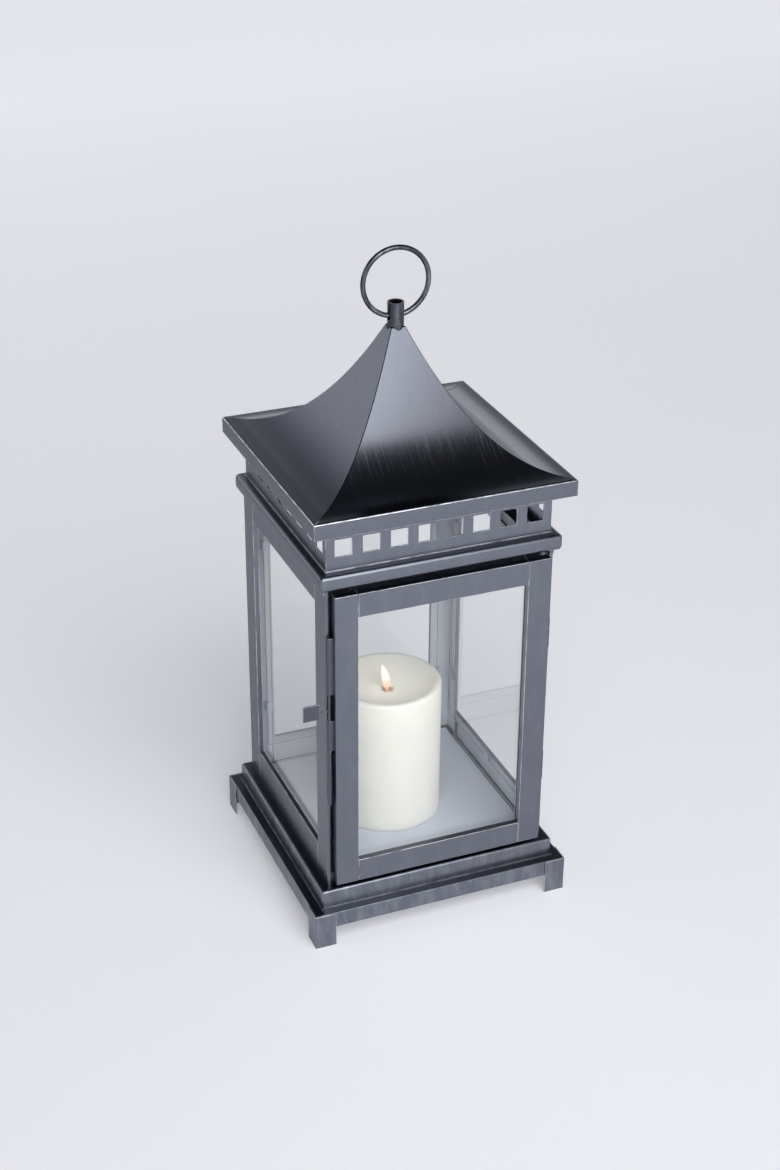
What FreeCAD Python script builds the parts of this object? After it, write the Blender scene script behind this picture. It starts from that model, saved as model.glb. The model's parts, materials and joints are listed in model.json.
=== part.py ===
import FreeCAD, Part
import math
import os

# Candle lantern: a sheet metal case with a glazed door, a vented cornice, a pagoda roof
# with a carrying ring, and a battery candle with a swaying flame inside.
# Millimetres, +Z up, door facing -Y, origin on the ground under the middle of the case.

V = FreeCAD.Vector
X_AXIS = V(1, 0, 0)
Y_AXIS = V(0, 1, 0)
Z_AXIS = V(0, 0, 1)
ORIGIN = V(0, 0, 0)

# Width of the square body, and how far each other tier stands out from its neighbour
body_width = 177.0
plinth_overhang = 7.2
base_overhang = 8.3
cornice_overhang = 5.2
vent_setback = 7.0
eave_overhang = 13.3
flue_ledge = 6.7

# Heights of the tiers, from the ground up
foot_height = 16.0
skirt_height = 13.0
plinth_height = 15.6
wall_height = 252.3
cornice_height = 12.4
vent_height = 32.6
fascia_height = 12.6
roof_rise = 95.0
finial_height = 17.5

# Sheet metal
sheet = 1.0
fold_inside = 0.5
edge_round = 0.6
corner_round = 0.8
fillet_limit = 0.95
plinth_round = 2.2
nose_round = 3.4
hem = 0.8
foot_sheet = 1.0
foot_leg = 16.6
floor_sheet = 1.0
fit_gap = 0.3

# Case frame
post_face = 20.5
post_lip = 2.6
reveal = 4.0
bottom_rail = 26.0
top_rail = 18.1
front_sill = 16.0
front_header = 19.6
cornice_skirt = 4.4
cornice_skirt_sheet = 0.8

# Glazing
glass = 2.0
pane_overlap = 6.0
clip_sheet = 0.6
clip_width = 8.0
clip_hook = 4.0

# Vent holes
vent_holes = 8
vent_hole = 13.0
vent_margin = 6.7
vent_sill = 11.1

# Roof sweep: height grows with this power of the distance in from the eave
apex_width = 11.0
roof_power = 2.2
roof_samples = 7

# Finial tube and carrying ring
finial_diameter = 12.0
finial_bore = 9.0
finial_sunk = 10.0
ring_diameter = 50.0
ring_wire = 3.8
ring_pivot_drop = 10.5
ring_play = 0.25

# Door
door_inset = 4.75
door_gap_bottom = 3.8
door_gap_top = 3.5
door_standoff = 0.5
door_depth = 7.0
door_stile = 17.6
door_rail = 18.6
door_seam = 0.3
door_reveal = 5.4

# Hinges
knuckle_diameter = 3.2
knuckle_length = 8.0
knuckle_gap = 0.3
hinge_pin = 1.6
pin_clearance = 0.05
hinge_side_gap = 0.25
hinge_spread = 116.0
hinge_web = 1.0
hinge_reach = 1.9
weld_bite = 0.4
pin_head = 2.8
pin_head_height = 0.8

# Latch
latch_tube = 3.4
latch_rod = 2.2
rod_clearance = 0.08
latch_side_gap = 1.05
guide_upper_length = 46.0
guide_lower_length = 25.0
guide_span = 22.0
keeper_length = 47.0
keeper_gap = 0.5
latch_height = 70.6
rod_lead = 0.2
rod_tail = 4.0
handle_wire = 1.2
handle_rise = 8.0
handle_reach = 7.7
flag_size = 12.6
web_sheet = 0.8
keeper_reach = 1.0

# Candle
candle_diameter = 84.6
candle_height = 114.5
candle_x = -5.7
candle_y = -1.6
candle_rim = 4.0
candle_rim_round = 2.6
dish_depth = 9.0
dish_curve = 0.3
well_diameter = 10.0
wax_wall = 6.0
wax_crown = 8.0
housing_wall = 1.6
housing_lift = 0.8
port_wall = 1.2

# Candle works
base_ring = 8.4
cover_sheet = 1.8
cover_rim = 2.4
grip_length = 30.0
grip_width = 4.0
grip_slot = 4.0
grip_depth = 0.9
lug_reach = 2.4
lug_width = 12.0
lug_height = 1.6
lug_twist = 40.0
battery_diameter = 14.5
battery_length = 50.5
battery_button = 5.5
battery_button_height = 1.0
holder_wall = 1.2
holder_plate = 1.6
sleeve_gap = 0.5
board_diameter = 40.0
board_sheet = 1.6
boss_diameter = 5.0
boss_margin = 2.5
coil_diameter = 12.0
coil_height = 5.0
coil_bore = 4.0
led_diameter = 5.0
led_height = 8.0
led_gap = 0.5
switch_length = 6.0
switch_width = 3.6
switch_travel = 3.0
switch_inset = 1.1
switch_reach = 2.2
switch_keep = 0.9

# Flame paddle
flame_height = 23.0
flame_belly = 5.2
flame_width = 7.4
flame_thickness = 1.4
flame_lean = 4.6
flame_stem = 3.0
pivot_depth = 4.0
pivot_wire = 0.8
pivot_clearance = 0.08
wire_seat = 0.02
magnet_diameter = 7.0
magnet_height = 3.5
magnet_room = 3.1
magnet_gap = 1.8

# Levels and half widths that follow from the sizes above
base_top = foot_height + skirt_height
plinth_top = base_top + plinth_height
wall_top = plinth_top + wall_height
cornice_top = wall_top + cornice_height
eave_bottom = cornice_top + vent_height
eave_top = eave_bottom + fascia_height
roof_top = eave_top + roof_rise
finial_top = roof_top + finial_height
floor_top = plinth_top + floor_sheet

body_half = body_width / 2
plinth_half = body_half + plinth_overhang
base_half = plinth_half + base_overhang
cornice_half = body_half + cornice_overhang
vent_half = cornice_half - vent_setback
flue_half = vent_half - flue_ledge
eave_half = vent_half + eave_overhang
apex_half = apex_width / 2
fold = sheet + fold_inside
opening_half = body_half - post_face

pane_low = plinth_top + bottom_rail - pane_overlap
pane_high = wall_top - top_rail + pane_overlap
pane_half = opening_half + pane_overlap
pane_outer = -body_half + reveal
pane_inner = pane_outer + glass

door_half = body_half - door_inset
door_bottom = plinth_top + door_gap_bottom
door_top = wall_top - door_gap_top
door_back = -(body_half + door_standoff)
door_front = door_back - door_depth
door_inner = door_half - door_stile
door_pane_front = door_front + door_reveal
door_pane_back = door_pane_front + glass
door_pane_half = door_inner + pane_overlap
door_pane_low = door_bottom + door_rail - pane_overlap
door_pane_high = door_top - door_rail + pane_overlap

ring_pivot = finial_top - ring_pivot_drop

hinge_x = door_half + knuckle_diameter / 2 + hinge_side_gap
hinge_y = -(body_half + door_standoff + knuckle_diameter / 2)
hinge_middle = (door_bottom + door_top) / 2
hinge_levels = [hinge_middle - hinge_spread / 2, hinge_middle + hinge_spread / 2]

latch_x = -(door_half + latch_tube / 2 + latch_side_gap)
latch_y = -(body_half + door_standoff + latch_tube / 2)
keeper_bottom = door_bottom + latch_height
keeper_top = keeper_bottom + keeper_length
guide_lower_bottom = keeper_top + keeper_gap
guide_lower_top = guide_lower_bottom + guide_lower_length
guide_upper_bottom = guide_lower_top + guide_span
guide_upper_top = guide_upper_bottom + guide_upper_length
handle_level = guide_lower_top + handle_rise
flag_edge = latch_x - handle_reach

candle_top = floor_top + candle_height
candle_radius = candle_diameter / 2
dish_floor = candle_top - dish_depth
cavity_top = dish_floor - wax_crown
cavity_radius = candle_radius - wax_wall
housing_radius = cavity_radius - fit_gap
housing_inner = housing_radius - housing_wall
housing_bottom = floor_top + housing_lift
housing_top = cavity_top - fit_gap
housing_ceiling = housing_top - housing_wall
well_radius = well_diameter / 2
port_radius = well_radius - fit_gap
cover_radius = housing_inner - base_ring
base_ring_top = housing_bottom + cover_sheet
lug_bottom = base_ring_top + fit_gap
lug_top = lug_bottom + lug_height
flame_pivot = dish_floor - pivot_depth
magnet_top = housing_ceiling - magnet_room
magnet_bottom = magnet_top - magnet_height
board_top = magnet_bottom - magnet_gap - coil_height
led_offset = (coil_diameter + led_diameter) / 2 + led_gap
boss_radius = (board_diameter - boss_diameter) / 2 - boss_margin
switch_y = candle_y - (housing_inner - switch_width / 2 - switch_inset)
switch_top = base_ring_top + switch_reach

sleeve_bore = battery_diameter + 2 * fit_gap
sleeve_outer = sleeve_bore + 2 * holder_wall
battery_offset = (sleeve_outer + sleeve_gap) / 2
battery_bottom = base_ring_top + fit_gap
battery_top = battery_bottom + battery_length
holder_top = battery_top + fit_gap + holder_plate


def box(x0, x1, y0, y1, z0, z1):
    """A box between two opposite corners."""
    low = V(min(x0, x1), min(y0, y1), min(z0, z1))
    return Part.makeBox(abs(x1 - x0), abs(y1 - y0), abs(z1 - z0), low)


def square(half, z0, z1):
    """A square block centred on the case."""
    return box(-half, half, -half, half, z0, z1)


def rod(x, y, z0, z1, diameter):
    """An upright round rod."""
    return Part.makeCylinder(diameter / 2, z1 - z0, V(x, y, z0), Z_AXIS)


def join(pieces):
    """Fuse touching solids into one clean solid."""
    whole = pieces[0].fuse(pieces[1:])
    return whole.removeSplitter()


def turned(shape, quarter):
    """A copy turned about the case's axis by quarter turns."""
    copy = shape.copy()
    copy.rotate(ORIGIN, Z_AXIS, 90 * quarter)
    return copy


def mirrored(shape):
    """A copy on the other side of the middle plane X = 0."""
    return shape.mirror(ORIGIN, X_AXIS)


def edges_at(shape, z, tolerance=1e-4):
    """The edges that lie flat at one level."""
    return [e for e in shape.Edges if all(abs(v.Z - z) < tolerance for v in e.Vertexes)]


def upright_edges(shape, x, y, tolerance=1e-4):
    """The edges that stand at one point of the plan."""
    near = []
    for edge in shape.Edges:
        if all(abs(v.X - x) < tolerance and abs(v.Y - y) < tolerance for v in edge.Vertexes):
            near.append(edge)
    return near


def corner_edges(shape, half):
    """The four upright edges of a square block."""
    places = [(x, y) for x in (-half, half) for y in (-half, half)]
    return [edge for x, y in places for edge in upright_edges(shape, x, y)]


def limited(radius, wall):
    """A fillet radius that leaves some of its wall."""
    return min(radius, wall * fillet_limit)


def tray(half, z0, z1, round_radius):
    """An upside down tray of sheet with its corners and top edges rounded."""
    inside = half - sheet
    outer = square(half, z0, z1)
    outer = outer.makeFillet(round_radius, edges_at(outer, z1) + corner_edges(outer, half))
    inner = square(inside, z0, z1 - sheet)
    if round_radius > sheet:
        edges = edges_at(inner, z1 - sheet) + corner_edges(inner, inside)
        inner = inner.makeFillet(round_radius - sheet, edges)
    return outer.cut(inner)


def base_tray():
    return tray(base_half - foot_sheet, foot_height, base_top, limited(edge_round, sheet))


def foot():
    """An angle wrapped round the base's front left corner."""
    edge = -base_half
    inside = edge + foot_sheet
    corner = box(edge, edge + foot_leg, edge, edge + foot_leg, 0, base_top)
    angle = corner.cut(box(inside, base_half, inside, base_half, 0, base_top))
    return angle.makeFillet(limited(corner_round, foot_sheet), upright_edges(angle, edge, edge))


def plinth_tray():
    """A tray with a thin hem turned out round its foot."""
    body = tray(plinth_half, base_top, plinth_top, plinth_round)
    foot_ring = square(plinth_half + hem, base_top, base_top + hem)
    foot_ring = foot_ring.cut(square(plinth_half - sheet, base_top, base_top + hem))
    return join([body, foot_ring])


def floor_plate():
    return square(body_half - reveal - sheet - fit_gap, plinth_top, floor_top)


def post_side_leg():
    """The left hand leg of the front left post, with its fold back to the pane."""
    edge = -body_half
    return [
        box(edge, edge + sheet, edge, edge + post_face, plinth_top, wall_top),
        box(edge, edge + reveal, edge + post_face - sheet, edge + post_face, plinth_top, wall_top),
    ]


def rounded_post(post):
    """Soften the post's outer corner."""
    return post.makeFillet(limited(corner_round, sheet), upright_edges(post, -body_half, -body_half))


def post_front():
    """The front left post: a narrow lip, then a flange set back behind the door."""
    edge = -body_half
    lip = edge + post_lip
    set_back = edge + reveal
    front = [
        box(edge, lip, edge, edge + sheet, plinth_top, wall_top),
        box(lip - sheet, lip, edge, set_back + sheet, plinth_top, wall_top),
        box(lip - sheet, edge + post_face, set_back, set_back + sheet, plinth_top, wall_top),
    ]
    return rounded_post(join(post_side_leg() + front))


def post_back():
    """A post with two equal legs, drawn at the front left corner."""
    edge = -body_half
    front = [
        box(edge, edge + post_face, edge, edge + sheet, plinth_top, wall_top),
        box(edge + post_face - sheet, edge + post_face, edge, edge + reveal, plinth_top, wall_top),
    ]
    return rounded_post(join(post_side_leg() + front))


def wall_rail(z0, z1):
    """A channel across the left wall, with a fold back to the pane's level at each edge."""
    edge = -body_half
    return join([
        box(edge, edge + sheet, -opening_half, opening_half, z0, z1),
        box(edge, edge + reveal, -opening_half, opening_half, z0, z0 + sheet),
        box(edge, edge + reveal, -opening_half, opening_half, z1 - sheet, z1),
    ])


def front_rail(z0, z1):
    """A strip behind the door, level with the front posts' flanges."""
    set_back = -body_half + reveal
    return box(-opening_half, opening_half, set_back, set_back + sheet, z0, z1)


def wall_pane():
    """The left wall's pane, seated on the folds."""
    return box(pane_outer, pane_inner, -pane_half, pane_half, pane_low, pane_high)


def clip(along, outward):
    """A Z-shaped clip at the pane's edge: foot on the sheet, riser, hook over the glass.

    along is the place on the edge, outward the direction from the glass to the frame,
    both in the left wall's plane as (y, z) pairs.
    """
    seat = -body_half + sheet
    hook_out = pane_inner + clip_sheet
    half = clip_width / 2

    def bar(x0, x1, near, far):
        (ay, az), (oy, oz) = along, outward
        y = sorted((ay + oy * near - abs(oz) * half, ay + oy * far + abs(oz) * half))
        z = sorted((az + oz * near - abs(oy) * half, az + oz * far + abs(oy) * half))
        return box(x0, x1, y[0], y[1], z[0], z[1])

    rise = fit_gap + clip_sheet
    return join([
        bar(seat, seat + clip_sheet, fit_gap, rise + clip_hook),
        bar(seat, hook_out, fit_gap, rise),
        bar(pane_inner, hook_out, -clip_hook, rise),
    ])


def wall_clips():
    """Six clips round the left wall's pane."""
    middle = (pane_low + pane_high) / 2
    third = (pane_high - pane_low) / 3
    clips = [clip((0, pane_low), (0, -1)), clip((0, pane_high), (0, 1))]
    for level in (middle - third, middle + third):
        clips.append(clip((-pane_half, level), (-1, 0)))
        clips.append(clip((pane_half, level), (1, 0)))
    return clips


def cornice():
    """A hollow moulding with a rounded nose, and a short skirt on three walls."""
    inside = cornice_half - sheet
    outer = square(cornice_half, wall_top, cornice_top)
    edges = edges_at(outer, wall_top) + edges_at(outer, cornice_top) + corner_edges(outer, cornice_half)
    outer = outer.makeFillet(nose_round, edges)
    low, high = wall_top + sheet, cornice_top - sheet
    inner = square(inside, low, high)
    edges = edges_at(inner, low) + edges_at(inner, high) + corner_edges(inner, inside)
    inner = inner.makeFillet(nose_round - sheet, edges)
    flue = square(flue_half, wall_top, cornice_top)
    moulding = outer.cut(inner).cut(flue)
    face = body_half + cornice_skirt_sheet
    skirt = square(face, wall_top - cornice_skirt, wall_top)
    skirt = skirt.cut(square(body_half, wall_top - cornice_skirt, wall_top))
    front = box(-face, face, -face, -body_half, wall_top - cornice_skirt, wall_top)
    return join([moulding, skirt.cut(front)])


def roof_height(w):
    """Height of the roof's outer face at a distance w from the middle."""
    run = eave_half - fold
    return eave_top + roof_rise * ((run - w) / (run - apex_half)) ** roof_power


def roof_slope(w):
    """Fall of the roof's outer face per unit of distance outward."""
    run = eave_half - fold
    share = (run - w) / (run - apex_half)
    return roof_power * roof_rise / (run - apex_half) * share ** (roof_power - 1)


def roof_point(w, depth):
    """A point of the front panel's section, depth below its outer face."""
    slope = roof_slope(w)
    length = math.hypot(1, slope)
    inward = depth * slope / length
    down = depth / length
    return V(0, -(w - inward), roof_height(w) - down)


def roof_curve(depth):
    """The section's curve from the eave's fold up to the apex."""
    run = eave_half - fold
    steps = [run + (apex_half - run) * i / (roof_samples - 1) for i in range(roof_samples)]
    curve = Part.BSplineCurve()
    curve.interpolate([roof_point(w, depth) for w in steps])
    return curve.toShape()


def line(a, b):
    return Part.LineSegment(a, b).toShape()


def eave_arc(radius):
    """The fold between fascia and roof, about the fold's centre."""
    centre = V(0, -(eave_half - fold), eave_top - fold)
    half_way = math.sqrt(0.5) * radius
    ends = [centre + V(0, -radius, 0), centre + V(0, -half_way, half_way), centre + V(0, 0, radius)]
    return Part.Arc(*ends).toShape()


def roof_panel():
    """The front panel: a fascia folded up into a curved sheet, mitred at its ridges.

    Its top is cut round for the finial.
    """
    outer, inner = roof_curve(0), roof_curve(sheet)
    fascia_out, fascia_in = -eave_half, -eave_half + sheet
    fold_level = eave_top - fold
    edges = [
        line(V(0, fascia_out, eave_bottom), V(0, fascia_out, fold_level)),
        eave_arc(fold),
        outer,
        line(roof_point(apex_half, 0), roof_point(apex_half, sheet)),
        inner,
        eave_arc(fold_inside),
        line(V(0, fascia_in, fold_level), V(0, fascia_in, eave_bottom)),
        line(V(0, fascia_in, eave_bottom), V(0, fascia_out, eave_bottom)),
    ]
    section = Part.Face(Part.Wire(Part.__sortEdges__(edges)))
    section.translate(V(-eave_half, 0, 0))
    strip = section.extrude(V(2 * eave_half, 0, 0))
    reach = eave_half + sheet
    corners = [V(0, 0, 0), V(-reach, -reach, 0), V(reach, -reach, 0), V(0, 0, 0)]
    wedge = Part.Face(Part.makePolygon(corners)).extrude(V(0, 0, roof_top + sheet))
    mouth = rod(0, 0, eave_top, roof_top + sheet, finial_diameter + 2 * fit_gap)
    return strip.common(wedge).cut(mouth)


def vent_strip(half, hem_half):
    """The front vent strip with its row of square holes and a hem along its foot."""
    outer, inner = -vent_half, -vent_half + sheet
    strip = box(-half, half, outer, inner, cornice_top, roof_height(vent_half) - sheet - fit_gap)
    first = -vent_half + vent_margin
    pitch = (2 * (vent_half - vent_margin) - vent_hole) / (vent_holes - 1)
    sill = cornice_top + vent_sill
    holes = []
    for i in range(vent_holes):
        left = first + i * pitch
        holes.append(box(left, left + vent_hole, outer, inner, sill, sill + vent_hole))
    foot_hem = box(-hem_half, hem_half, outer - hem, outer, cornice_top, cornice_top + hem)
    return join([strip, foot_hem]).cut(holes)


def finial_tube():
    """An open tube standing in the roof's mouth, drilled across for the ring."""
    low = roof_top - finial_sunk
    tube = rod(0, 0, low, finial_top, finial_diameter).cut(rod(0, 0, low, finial_top, finial_bore))
    mean = ring_diameter / 2
    sag = mean - math.sqrt(mean ** 2 - (finial_diameter / 2) ** 2)
    hole = ring_wire / 2 + sag + ring_play
    start = V(-finial_diameter, 0, ring_pivot)
    drill = Part.makeCylinder(hole, 2 * finial_diameter, start, X_AXIS)
    return tube.cut(drill)


def carry_ring():
    """A wire ring standing up, threaded through the finial."""
    middle = V(0, 0, ring_pivot + ring_diameter / 2)
    return Part.makeTorus(ring_diameter / 2, ring_wire / 2, middle, Y_AXIS)


def door_member(outer, inner, length, upright):
    """A folded channel of the door: face, deep flange outside and a shallower one at the glass.

    outer and inner place the member's edges across it, length gives its two ends.
    """
    step = sheet if inner > outer else -sheet

    def bar(a, b, back):
        if upright:
            return box(a, b, door_front, back, *length)
        return box(*length, door_front, back, a, b)

    return join([
        bar(outer, inner, door_front + sheet),
        bar(outer, outer + step, door_back),
        bar(inner - step, inner, door_pane_front),
    ])


def door_stile_left():
    """An upright channel, closed at both ends."""
    stile = door_member(-door_half, -door_inner, (door_bottom, door_top), True)
    ends = [
        box(-door_half, -door_inner, door_front, door_back, z, z + sheet)
        for z in (door_bottom, door_top - sheet)
    ]
    stile = join([stile] + ends)
    return stile.makeFillet(limited(edge_round, sheet), upright_edges(stile, -door_half, door_front))


def door_cross_rail(outer, inner):
    """A level channel between the stiles, with a seam at each end."""
    half = door_inner - door_seam
    return door_member(outer, inner, (-half, half), False)


def door_rail_top():
    return door_cross_rail(door_top, door_top - door_rail)


def door_rail_bottom():
    return door_cross_rail(door_bottom, door_bottom + door_rail)


def door_pane():
    half = door_pane_half
    return box(-half, half, door_pane_front, door_pane_back, door_pane_low, door_pane_high)


def door_clips():
    """Bent clips from the door's outer flanges over the pane's back."""
    hook_back = door_pane_back + clip_sheet
    root = door_front + 2 * sheet
    half = clip_width / 2
    middle = (door_bottom + door_top) / 2
    third = (door_top - door_bottom) / 3
    clips = []
    for level in (middle - third, middle + third):
        wall = door_half - sheet
        tab = join([
            box(wall - clip_sheet, wall, root, hook_back, level - half, level + half),
            box(door_pane_half - clip_hook, wall, door_pane_back, hook_back, level - half, level + half),
        ])
        clips += [tab, mirrored(tab)]
    for wall, inward, edge in (
        (door_bottom + sheet, 1, door_pane_low),
        (door_top - sheet, -1, door_pane_high),
    ):
        clips.append(join([
            box(-half, half, root, hook_back, wall, wall + inward * clip_sheet),
            box(-half, half, door_pane_back, hook_back, wall, edge + inward * clip_hook),
        ]))
    return clips


def knuckle_level(level, place):
    """Bottom of one of a hinge's three knuckles: -1 lower, 0 middle, 1 upper."""
    return level + place * (knuckle_length + knuckle_gap) - knuckle_length / 2


def knuckle(low, web):
    """A hinge knuckle: a tube with the web that carries it, bored for the pin."""
    tube = rod(hinge_x, hinge_y, low, low + knuckle_length, knuckle_diameter)
    bore = rod(hinge_x, hinge_y, low, low + knuckle_length, hinge_pin + 2 * pin_clearance)
    return join([tube, web]).cut(bore)


def hinge_frame_knuckles():
    knuckles = []
    for level in hinge_levels:
        for place in (-1, 1):
            low = knuckle_level(level, place)
            front = door_back - weld_bite
            web = box(hinge_x, hinge_x + hinge_reach, front, -body_half, low, low + knuckle_length)
            knuckles.append(knuckle(low, web))
    return knuckles


def hinge_door_knuckles():
    knuckles = []
    front = hinge_y - knuckle_diameter / 2
    for level in hinge_levels:
        low = knuckle_level(level, 0)
        web = box(door_half, hinge_x, front, front + hinge_web, low, low + knuckle_length)
        knuckles.append(knuckle(low, web))
    return knuckles


def hinge_pins():
    """Headed pins that hang in the frame's knuckles."""
    pins = []
    for level in hinge_levels:
        low = knuckle_level(level, -1)
        high = knuckle_level(level, 1) + knuckle_length
        shank = rod(hinge_x, hinge_y, low, high, hinge_pin)
        head = rod(hinge_x, hinge_y, high, high + pin_head_height, pin_head)
        pins.append(join([shank, head]))
    return pins


def latch_sleeve(low, high, web):
    """A latch tube with its web, bored for the bolt."""
    tube = rod(latch_x, latch_y, low, high, latch_tube)
    bore = rod(latch_x, latch_y, low, high, latch_rod + 2 * rod_clearance)
    return join([tube, web]).cut(bore)


def latch_guides():
    """Two tubes on the door's left edge."""
    front = latch_y - latch_tube / 2
    guides = []
    for low, high in ((guide_lower_bottom, guide_lower_top), (guide_upper_bottom, guide_upper_top)):
        web = box(latch_x, -door_half, front, front + web_sheet, low, high)
        guides.append(latch_sleeve(low, high, web))
    return guides


def latch_keeper():
    """The tube on the post's lip that takes the bolt's end."""
    front = door_back - weld_bite
    web = box(latch_x - keeper_reach, latch_x, front, -body_half, keeper_bottom, keeper_top)
    return latch_sleeve(keeper_bottom, keeper_top, web)


def latch_bolt():
    """The bolt rod with its wire handle."""
    shank = rod(latch_x, latch_y, guide_lower_bottom + rod_lead, guide_upper_top - rod_tail, latch_rod)
    start = V(flag_edge, latch_y, handle_level)
    wire = Part.makeCylinder(handle_wire / 2, handle_reach, start, X_AXIS)
    return join([shank, wire])


def latch_flag():
    """The flat tab at the wire's end."""
    half = flag_size / 2
    depth = handle_wire / 2
    middle = handle_level + handle_wire
    return box(
        flag_edge - flag_size, flag_edge, latch_y - depth, latch_y + depth, middle - half, middle + half
    )


def revolved(edges):
    """A turned solid about the candle's axis, from edges drawn in its XZ plane."""
    face = Part.Face(Part.Wire(Part.__sortEdges__(edges)))
    solid = face.revolve(ORIGIN, Z_AXIS, 360)
    solid.translate(V(candle_x, candle_y, 0))
    return solid


def outline(points):
    """Straight edges from point to point, closed."""
    places = [V(r, 0, z) for r, z in points]
    return [line(a, b) for a, b in zip(places, places[1:] + places[:1])]


def candle_wax():
    """The wax pillar: a hollow shell with a rounded rim and a dished top."""
    shoulder = candle_top - candle_rim_round
    rim_outer = candle_radius - candle_rim_round
    rim_inner = candle_radius - candle_rim
    mid_arc = candle_rim_round * math.sqrt(0.5)
    dish_middle = (rim_inner + well_radius) / 2
    dish_mid_level = dish_floor + dish_depth * dish_curve
    rim_arc = Part.Arc(
        V(candle_radius, 0, shoulder),
        V(rim_outer + mid_arc, 0, shoulder + mid_arc),
        V(rim_outer, 0, candle_top),
    )
    dish_arc = Part.Arc(
        V(rim_inner, 0, candle_top), V(dish_middle, 0, dish_mid_level), V(well_radius, 0, dish_floor)
    )
    edges = [
        line(V(cavity_radius, 0, floor_top), V(candle_radius, 0, floor_top)),
        line(V(candle_radius, 0, floor_top), V(candle_radius, 0, shoulder)),
        rim_arc.toShape(),
        line(V(rim_outer, 0, candle_top), V(rim_inner, 0, candle_top)),
        dish_arc.toShape(),
        line(V(well_radius, 0, dish_floor), V(well_radius, 0, cavity_top)),
        line(V(well_radius, 0, cavity_top), V(cavity_radius, 0, cavity_top)),
        line(V(cavity_radius, 0, cavity_top), V(cavity_radius, 0, floor_top)),
    ]
    return revolved(edges)


def at_candle(x, y, z0, z1, diameter):
    """An upright rod placed from the candle's axis."""
    return rod(candle_x + x, candle_y + y, z0, z1, diameter)


def around(radius, count, start=0.0):
    """Points evenly round the candle's axis."""
    turns = [math.radians(start + 360.0 * i / count) for i in range(count)]
    return [(radius * math.cos(t), radius * math.sin(t)) for t in turns]


def switch_box(play, z0, z1):
    """The switch's plan at the housing's base, with room for its travel when play is set."""
    half_x = switch_length / 2 + play
    half_y = switch_width / 2 + play
    ahead = switch_travel if play else 0.0
    left, right = candle_x - half_x, candle_x + half_x + ahead
    return box(left, right, switch_y - half_y, switch_y + half_y, z0, z1)


def candle_housing():
    """The plastic cup inside the wax, with the flame's port and bosses for the board."""
    shell = outline([
        (cover_radius + fit_gap, housing_bottom),
        (housing_radius, housing_bottom),
        (housing_radius, housing_top),
        (port_radius, housing_top),
        (port_radius, dish_floor - fit_gap),
        (port_radius - port_wall, dish_floor - fit_gap),
        (port_radius - port_wall, housing_ceiling),
        (housing_inner, housing_ceiling),
        (housing_inner, base_ring_top),
        (cover_radius + fit_gap, base_ring_top),
    ])
    cup = revolved(shell)
    bosses = [at_candle(x, y, board_top, housing_ceiling, boss_diameter)
              for x, y in around(boss_radius, 3, 90)]
    cup = join([cup] + bosses)
    notch_reach = lug_reach + fit_gap
    for side in (0, 180):
        notch = box(0, cover_radius + notch_reach, -lug_width / 2 - fit_gap, lug_width / 2 + fit_gap,
                    housing_bottom, base_ring_top)
        notch.rotate(ORIGIN, Z_AXIS, side + lug_twist)
        notch.translate(V(candle_x, candle_y, 0))
        cup = cup.cut(notch)
    cup = cup.cut(switch_box(fit_gap, housing_bottom, base_ring_top))
    pivot = V(candle_x, candle_y - well_diameter, flame_pivot)
    seat = Part.makeCylinder(pivot_wire / 2 + wire_seat, 2 * well_diameter, pivot, Y_AXIS)
    return cup.cut(seat)


def battery_cover():
    """The twist-off cover: a disc with two lugs above the base ring and a finger grip below."""
    disc = at_candle(0, 0, housing_bottom, base_ring_top, 2 * cover_radius)
    rim = at_candle(0, 0, base_ring_top, lug_top, 2 * cover_radius)
    rim = rim.cut(at_candle(0, 0, base_ring_top, lug_top, 2 * (cover_radius - cover_rim)))
    lugs = []
    for side in (0, 180):
        root = cover_radius - cover_rim / 2
        lug = box(root, cover_radius + lug_reach, -lug_width / 2, lug_width / 2, lug_bottom, lug_top)
        lug.rotate(ORIGIN, Z_AXIS, side)
        lug.translate(V(candle_x, candle_y, 0))
        lugs.append(lug)
    cover = join([disc, rim] + lugs)
    left, right = candle_x - grip_length / 2, candle_x + grip_length / 2
    for side in (-1, 1):
        near = candle_y + side * grip_width / 2
        far = near + side * grip_slot
        cover = cover.cut(box(left, right, near, far, housing_bottom, housing_bottom + grip_depth))
    return cover


def power_switch():
    """The slide switch's thumb piece in its slot, with a plate that keeps it in."""
    low = base_ring_top + fit_gap
    thumb = switch_box(0, housing_bottom, low)
    half_x = switch_length / 2 + switch_keep
    outer = switch_y - switch_width / 2
    inner = switch_y + switch_width / 2 + switch_keep
    plate = box(candle_x - half_x, candle_x + half_x, outer, inner, low, switch_top)
    return join([thumb, plate])


def battery_holder():
    """Two sleeves under a plate that spans the housing."""
    low = lug_top + fit_gap
    plate_low = holder_top - holder_plate
    plate = at_candle(0, 0, plate_low, holder_top, 2 * (housing_inner - fit_gap))
    places = (-battery_offset, battery_offset)
    sleeves = [at_candle(x, 0, low, plate_low, sleeve_outer) for x in places]
    bores = [at_candle(x, 0, low, plate_low, sleeve_bore) for x in places]
    return join([plate] + sleeves).cut(bores)


def batteries():
    cells = []
    for x in (-battery_offset, battery_offset):
        can = at_candle(x, 0, battery_bottom, battery_top - battery_button_height, battery_diameter)
        button = at_candle(x, 0, battery_top - battery_button_height, battery_top, battery_button)
        cells.append(join([can, button]))
    return cells


def circuit_board():
    """A round board under the housing's bosses."""
    return at_candle(0, 0, board_top - board_sheet, board_top, board_diameter)


def drive_coil():
    """The coil on the board, under the flame's magnet."""
    high = board_top + coil_height
    return at_candle(0, 0, board_top, high, coil_diameter).cut(at_candle(0, 0, board_top, high, coil_bore))


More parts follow.
